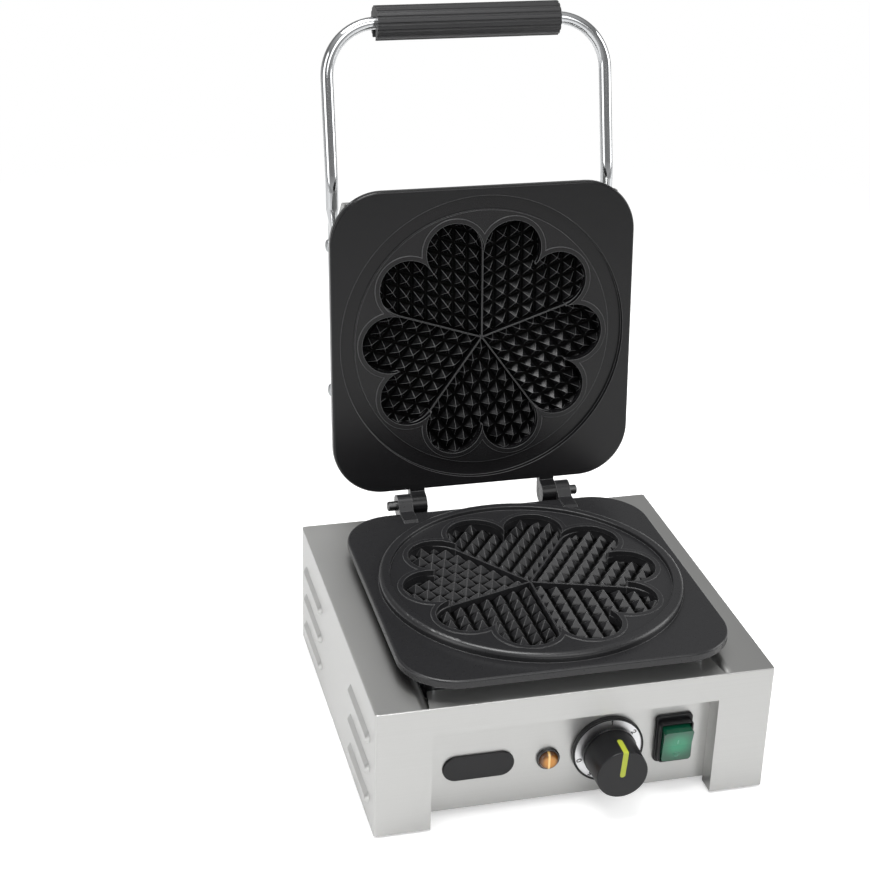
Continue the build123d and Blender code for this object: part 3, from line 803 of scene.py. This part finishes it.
@dataclass
class Mark:
    """A printed sign: flat strokes a little proud of the face that carries them.

    Attributes:
        name: Name of the piece.
        sign: Key of its strokes in GLYPHS.
        height: Height of the sign in millimetres.
        width: Width of a stroke in millimetres.
        place: Matrix from the sign's own plane, in millimetres, to the row frame, in metres.
        finish: Its finish.
        body: The body that it rides on.
    """

    name: str
    sign: str
    height: float
    width: float
    place: Matrix
    finish: Finish
    body: Body

    def build(self) -> bpy.types.Object:
        """Make the piece.

        Returns:
            The mesh object, riding on its body.
        """
        mesh = bpy.data.meshes.new(self.name)
        bm = bmesh.new()
        scale = self.height / 1.6
        for line in GLYPHS[self.sign]:
            centred = [((x - 0.5) * scale, (y - 0.8) * scale) for x, y in line]
            for quad in strip_points(centred, self.width):
                corners = [bm.verts.new((v.x, v.y, 0.0)) for v in quad]
                face = bm.faces.new(corners)
                grown = bmesh.ops.extrude_face_region(bm, geom=[face])
                top = [v for v in grown["geom"] if isinstance(v, bmesh.types.BMVert)]
                bmesh.ops.translate(bm, verts=top, vec=(0.0, 0.0, SIGN_THICKNESS))
        bmesh.ops.recalc_face_normals(bm, faces=bm.faces)
        bmesh.ops.transform(bm, matrix=self.place, verts=bm.verts)
        bm.to_mesh(mesh)
        bm.free()
        piece = bpy.data.objects.new(self.name, mesh)
        bpy.context.scene.collection.objects.link(piece)
        mesh.materials.append(self.finish.material())
        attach(piece, self.body.value)
        LOG.info("mark %s on %s", self.name, self.body.value)
        return piece


packed: dict = {}


@dataclass
class SubAssembly:
    """A group of CAD nodes that are dressed together.

    Attributes:
        name: Name of the group.
        finishes: Finish of each CAD node.
    """

    name: str
    finishes: dict[str, Finish] = field(default_factory=dict)

    def dress(self, nodes: dict[str, bpy.types.Object]) -> None:
        """Give every CAD node of the group its finish.

        Args:
            nodes: All CAD nodes by name.
        """
        for node, finish in self.finishes.items():
            mesh = nodes[node].data
            mesh.materials.clear()
            mesh.materials.append(finish.material())
            for polygon in mesh.polygons:
                polygon.material_index = 0
            LOG.info("%s: node %s in %s", self.name, node, finish.name)

    def add_pieces(self) -> list[bpy.types.Object]:
        """Make the pieces that only the looks need.

        Returns:
            The new objects.
        """
        return []


@dataclass
class Casing(SubAssembly):
    """Sheet casing with its panels, feet and rear fittings."""

    name: str = "casing"
    finishes: dict[str, Finish] = field(
        default_factory=lambda: {
            "casing_shell": CASING_STEEL,
            "control_panel": CASING_STEEL,
            "rear_panel": CASING_STEEL,
            "bottom_plate": CASING_STEEL,
            "rubber_feet": RUBBER,
            "foot_screws": PLAIN_STEEL,
            "rear_screws": PLAIN_STEEL,
            "cross_rails": PLAIN_STEEL,
            "cable_gland": BLACK,
            "terminal_block": CERAMIC,
            "badge_plate": BLACK,
        }
    )


@dataclass
class LowerHalf(SubAssembly):
    """Lower casting with its heater and hinge pins."""

    name: str = "lower_half"
    finishes: dict[str, Finish] = field(
        default_factory=lambda: {
            "lower_plate": LOWER_COATING,
            "hinge_pins": DARK_STEEL,
            "heater_box": PLAIN_STEEL,
            "lower_heating_element": ELEMENT,
            "lower_clamp": PLAIN_STEEL,
            "lower_insulation": WOOL,
        }
    )


@dataclass
class Lid(SubAssembly):
    """Upper casting, its cover and heater, and the long handle."""

    name: str = "lid"
    finishes: dict[str, Finish] = field(
        default_factory=lambda: {
            "upper_plate": UPPER_COATING,
            "upper_cover": COVER_STEEL,
            "upper_heating_element": ELEMENT,
            "upper_clamp": PLAIN_STEEL,
            "upper_insulation": WOOL,
            "cover_screws": PLAIN_STEEL,
            "handle_bar": CHROME,
            "handle_grip": GRIP_BLACK,
            "handle_screws": PLAIN_STEEL,
        }
    )


@dataclass
class Dial(SubAssembly):
    """Thermostat knob on its numbered ring.

    Attributes:
        digits: Angle of each digit, clockwise from the top in degrees.
        digit_radius: Distance of the digits from the axis in millimetres.
        digit_height: Height of a digit in millimetres.
        digit_stroke: Width of its strokes in millimetres.
    """

    name: str = "dial"
    finishes: dict[str, Finish] = field(
        default_factory=lambda: {
            "dial_bezel": BLACK,
            "dial_scale": SILVER,
            "thermostat_body": PLAIN_STEEL,
            "thermostat_shaft": PLAIN_STEEL,
            "knob": BLACK,
            "knob_pointer": LIME,
        }
    )
    digits: dict[str, float] = field(
        default_factory=lambda: {"0": -107.0, "1": 4.0, "2": 56.0, "3": 108.0, "4": 160.0, "5": 213.0}
    )
    digit_radius: float = 23.1
    digit_height: float = 3.4
    digit_stroke: float = 0.72

    def add_pieces(self) -> list[bpy.types.Object]:
        """Print the digits on the silver ring.

        Returns:
            One object for each digit.
        """
        low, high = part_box("dial_scale")
        centre = Vector(((low.x + high.x) / 2, low.y, (low.z + high.z) / 2))
        upright = Matrix.Rotation(math.radians(90), 4, "X")
        made = []
        for digit, angle in self.digits.items():
            turn = Matrix.Rotation(math.radians(angle), 4, "Y")
            out = Matrix.Translation(Vector((0.0, 0.0, self.digit_radius * MM)))
            place = Matrix.Translation(centre) @ turn @ out @ upright @ Matrix.Scale(MM, 4)
            name = f"dial_digit_{digit}"
            mark = Mark(name, digit, self.digit_height, self.digit_stroke, place, MARK_DARK, Body.BASE)
            made.append(mark.build())
        return made


@dataclass
class Switch(SubAssembly):
    """Rocker switch with its two signs.

    Attributes:
        tilt: Tilt of the rocker at rest in degrees.
        slope: Slope of each half of its face in degrees.
        hollow: Way from the pivot to the middle of its face in millimetres.
        signs: Rise over the pivot and height of each sign in millimetres.
        stroke: Width of their strokes in millimetres.
    """

    name: str = "switch"
    finishes: dict[str, Finish] = field(
        default_factory=lambda: {"switch_housing": BLACK, "switch_rocker": GREEN}
    )
    tilt: float = 9.0
    slope: float = 4.11
    hollow: float = 5.6
    signs: dict[str, tuple[float, float]] = field(
        default_factory=lambda: {"I": (3.5, 3.6), "O": (-8.3, 5.0)}
    )
    stroke: float = 0.8

    def add_pieces(self) -> list[bpy.types.Object]:
        """Print I on the upper half and O on the lower half.

        Returns:
            The two signs.
        """
        joint = next(j for j in packed["joints"] if j["name"] == "switch_rock")
        pivot = Matrix.Translation(Vector(joint["pos_m"]))
        tilt = pivot @ Matrix.Rotation(math.radians(self.tilt), 4, "X") @ pivot.inverted()
        upright = Matrix.Rotation(math.radians(90), 4, "X")
        made = []
        for sign, (rise, height) in self.signs.items():
            lean = Matrix.Rotation(math.radians(math.copysign(self.slope, rise)), 4, "X")
            out = self.hollow + abs(rise) * math.tan(math.radians(self.slope))
            face_y = joint["pos_m"][1] - out * MM
            spot = Vector((joint["pos_m"][0], face_y, joint["pos_m"][2] + rise * MM))
            place = tilt @ Matrix.Translation(spot) @ lean @ upright @ Matrix.Scale(MM, 4)
            mark = Mark(f"rocker_sign_{sign}", sign, height, self.stroke, place, MARK_PALE, Body.ROCKER)
            made.append(mark.build())
        return made


@dataclass
class PilotLamp(SubAssembly):
    """Pilot lamp in the panel."""

    name: str = "pilot_lamp"
    finishes: dict[str, Finish] = field(
        default_factory=lambda: {"lamp_bezel": GLOSS_BLACK, "lamp_lens": AMBER, "lamp_nut": BLACK}
    )


@dataclass(frozen=True)
class Softbox:
    """A rectangular studio lamp.

    Attributes:
        name: Name of the lamp.
        place: Position in metres.
        aim: Point that it faces.
        size: Width and height in metres.
        power: Power in watts.
    """

    name: str
    place: tuple[float, float, float]
    aim: tuple[float, float, float]
    size: tuple[float, float]
    power: float

    def build(self) -> bpy.types.Object:
        """Add the lamp to the scene.

        Returns:
            The lamp object.
        """
        data = bpy.data.lights.new(self.name, "AREA")
        data.shape = "RECTANGLE"
        data.size, data.size_y = self.size
        data.energy = self.power
        lamp = bpy.data.objects.new(self.name, data)
        lamp.location = self.place
        way = Vector(self.aim) - Vector(self.place)
        lamp.rotation_euler = way.to_track_quat("-Z", "Y").to_euler()
        bpy.context.scene.collection.objects.link(lamp)
        return lamp


@dataclass
class Studio:
    """White studio with soft lamps and the camera of the photograph.

    Attributes:
        lamps: The softboxes.
        camera_place: Camera position in metres.
        azimuth: Direction of the camera seen from above, in degrees.
        elevation: Height angle of the camera in degrees.
        roll: Turn of the camera about its view in degrees.
        lens: Focal length in millimetres for a 36 mm sensor.
        floor_half: Half the side of the floor in metres.
        floor_lift: Light that the camera's own view of the floor gains.
        white_from: Distance from the middle, in metres, at which the floor starts to run out into white.
        white_by: Distance at which it is plain white.
    """

    lamps: tuple[Softbox, ...] = (
        Softbox("lamp_top", (-0.45, -0.05, 2.5), (0.0, 0.1, 0.1), (1.5, 1.2), 54.0),
        Softbox("lamp_front", (0.3, -2.7, 2.2), (0.0, 0.0, 0.15), (2.6, 1.8), 36.0),
        Softbox("lamp_left", (-2.6, -0.9, 1.2), (0.0, 0.0, 0.2), (1.6, 2.0), 24.0),
        Softbox("lamp_right", (2.4, -0.3, 1.0), (0.0, 0.0, 0.2), (1.5, 1.5), 26.0),
    )
    camera_place: tuple[float, float, float] = (-0.38826, -1.21545, 0.83247)
    azimuth: float = -14.87
    elevation: float = 25.58
    roll: float = 1.68
    lens: float = 75.79
    floor_half: float = 9.0
    floor_lift: float = 0.42
    white_from: float = 0.6
    white_by: float = 1.5

    def build(self) -> None:
        """Add lamps, world, floor and camera."""
        for lamp in self.lamps:
            lamp.build()
        self._world()
        self._floor()
        self._camera()
        bpy.context.scene.view_settings.view_transform = "Standard"
        LOG.info("studio ready")

    def _world(self) -> None:
        """White for the camera, and a soft grey gradient for reflections and light."""
        world = bpy.data.worlds.new("studio_world")
        world.use_nodes = True
        bpy.context.scene.world = world
        tree = world.node_tree
        plain = tree.nodes["Background"]
        plain.inputs["Color"].default_value = (1.0, 1.0, 1.0, 1.0)
        plain.inputs["Strength"].default_value = 1.0
        place = tree.nodes.new("ShaderNodeTexCoord")
        split = tree.nodes.new("ShaderNodeSeparateXYZ")
        ramp = tree.nodes.new("ShaderNodeValToRGB")
        span = tree.nodes.new("ShaderNodeMapRange")
        span.inputs["From Min"].default_value = -1.0
        span.inputs["From Max"].default_value = 1.0
        stops = ramp.color_ramp.elements
        stops[0].position, stops[0].color = 0.0, (0.55, 0.55, 0.55, 1.0)
        stops[1].position, stops[1].color = 1.0, (0.80, 0.80, 0.80, 1.0)
        for position, grey in ((0.5, 0.64), (0.60, 0.30), (0.74, 0.26), (0.88, 0.58)):
            stop = stops.new(position)
            stop.color = (grey, grey, grey, 1.0)
        soft = tree.nodes.new("ShaderNodeBackground")
        soft.inputs["Strength"].default_value = 0.85
        path = tree.nodes.new("ShaderNodeLightPath")
        mix = tree.nodes.new("ShaderNodeMixShader")
        tree.links.new(place.outputs["Generated"], split.inputs["Vector"])
        tree.links.new(split.outputs["Z"], span.inputs["Value"])
        tree.links.new(span.outputs["Result"], ramp.inputs["Fac"])
        tree.links.new(ramp.outputs["Color"], soft.inputs["Color"])
        tree.links.new(path.outputs["Is Camera Ray"], mix.inputs["Fac"])
        tree.links.new(soft.outputs["Background"], mix.inputs[1])
        tree.links.new(plain.outputs["Background"], mix.inputs[2])
        tree.links.new(mix.outputs["Shader"], tree.nodes["World Output"].inputs["Surface"])

    def _floor(self) -> None:
        """Pale floor that keeps the soft shadow and fades to white for the camera."""
        mesh = bpy.data.meshes.new("floor")
        bm = bmesh.new()
        bmesh.ops.create_grid(bm, x_segments=1, y_segments=1, size=self.floor_half)
        bm.to_mesh(mesh)
        bm.free()
        floor = bpy.data.objects.new("floor", mesh)
        bpy.context.scene.collection.objects.link(floor)
        paper = bpy.data.materials.new("studio_paper")
        paper.use_nodes = True
        tree = paper.node_tree
        shader = tree.nodes["Principled BSDF"]
        shader.inputs["Base Color"].default_value = (0.82, 0.82, 0.82, 1.0)
        shader.inputs["Roughness"].default_value = 0.9
        shader.inputs["Specular IOR Level"].default_value = 0.1
        shine = tree.nodes.new("ShaderNodeEmission")
        shine.inputs["Color"].default_value = (1.0, 1.0, 1.0, 1.0)
        path = tree.nodes.new("ShaderNodeLightPath")
        lift = tree.nodes.new("ShaderNodeMath")
        lift.operation = "MULTIPLY"
        lift.inputs[1].default_value = self.floor_lift
        join = tree.nodes.new("ShaderNodeAddShader")
        tree.links.new(path.outputs["Is Camera Ray"], lift.inputs[0])
        tree.links.new(lift.outputs["Value"], shine.inputs["Strength"])
        tree.links.new(shader.outputs["BSDF"], join.inputs[0])
        tree.links.new(shine.outputs["Emission"], join.inputs[1])
        blank = self._far_paper(tree, join.outputs["Shader"], path.outputs["Is Camera Ray"])
        tree.links.new(blank, tree.nodes["Material Output"].inputs["Surface"])
        mesh.materials.append(paper)

    def _far_paper(
        self, tree: bpy.types.NodeTree, near: bpy.types.NodeSocket, seen: bpy.types.NodeSocket
    ) -> bpy.types.NodeSocket:
        """Let the floor run out into plain white away from the machine.

        Args:
            tree: The floor's node tree.
            near: Shader of the floor round the machine.
            seen: Socket that is 1 where the floor itself is seen.

        Returns:
            The shader socket of the whole floor.
        """
        place = tree.nodes.new("ShaderNodeTexCoord")
        away = vector_node(tree, "LENGTH", place.outputs["Object"])
        span = tree.nodes.new("ShaderNodeMapRange")
        span.interpolation_type = "SMOOTHSTEP"
        span.inputs["From Min"].default_value = self.white_from
        span.inputs["From Max"].default_value = self.white_by
        share = tree.nodes.new("ShaderNodeMath")
        share.operation = "MULTIPLY"
        white = tree.nodes.new("ShaderNodeEmission")
        mix = tree.nodes.new("ShaderNodeMixShader")
        tree.links.new(away.outputs["Value"], span.inputs["Value"])
        tree.links.new(span.outputs["Result"], share.inputs[0])
        tree.links.new(seen, share.inputs[1])
        tree.links.new(share.outputs["Value"], mix.inputs["Fac"])
        tree.links.new(near, mix.inputs[1])
        tree.links.new(white.outputs["Emission"], mix.inputs[2])
        return mix.outputs["Shader"]

    def _camera(self) -> None:
        """Set the camera by the solved position and angles."""
        az, el, roll = (math.radians(a) for a in (self.azimuth, self.elevation, self.roll))
        back = Vector((math.sin(az) * math.cos(el), -math.cos(az) * math.cos(el), math.sin(el)))
        right = Vector((math.cos(az), math.sin(az), 0.0))
        up = back.cross(right)
        right_rolled = right * math.cos(roll) + up * math.sin(roll)
        up_rolled = up * math.cos(roll) - right * math.sin(roll)
        data = bpy.data.cameras.new("camera")
        data.lens = self.lens
        data.sensor_width = 36.0
        data.clip_start = 0.05
        data.clip_end = 60.0
        camera = bpy.data.objects.new("camera", data)
        turn = Matrix((right_rolled, up_rolled, back)).transposed().to_4x4()
        camera.matrix_world = Matrix.Translation(Vector(self.camera_place)) @ turn
        bpy.context.scene.collection.objects.link(camera)
        bpy.context.scene.camera = camera


def main() -> None:
    """Load the frame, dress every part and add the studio."""
    logging.basicConfig(level=logging.INFO, format="%(message)s")
    packed.update(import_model())
    parts: list[SubAssembly] = [Casing(), LowerHalf(), Lid(), Dial(), Switch(), PilotLamp()]
    for part in parts:
        part.dress(packed["nodes"])
        for piece in part.add_pieces():
            LOG.info("%s: piece %s", part.name, piece.name)
    Studio().build()


if __name__ == "__main__":
    main()
